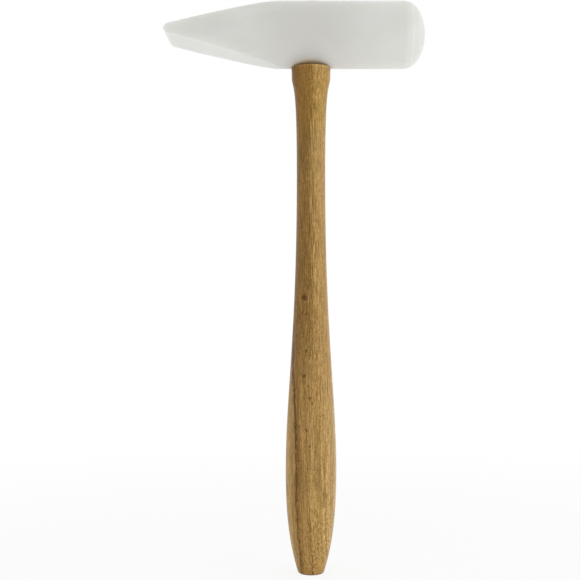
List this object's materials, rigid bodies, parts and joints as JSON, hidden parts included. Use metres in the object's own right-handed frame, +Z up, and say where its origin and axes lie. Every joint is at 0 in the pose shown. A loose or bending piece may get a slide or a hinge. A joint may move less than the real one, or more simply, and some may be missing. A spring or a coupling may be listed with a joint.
{
  "type": "nylon mallet",
  "caption": "Hand mallet: a round nylon head with a cross-peen wedge opposite a domed face, wedged on a turned, swelling beech handle.",
  "frame": {"origin": "middle of the handle's flat butt, on the axis of the handle", "axes": "+Z up the handle to the head, +X along the head towards the domed face and -X towards the peen, Y along the peen's edge"},
  "size_m": [0.1162, 0.03, 0.257],
  "materials": {
    "nylon": "satin natural nylon, slightly translucent",
    "beech": "fine sanded beech with a thin clear coat",
    "dark_hardwood": "sawn hardwood, dressed flush",
    "steel": "bright mild steel, dressed flush"
  },
  "bodies": {
    "root": {"nylon_head": "nylon", "beech_handle": "beech", "hardwood_wedge": "dark_hardwood", "steel_cross_wedge": "steel"}
  },
  "joints": []
}
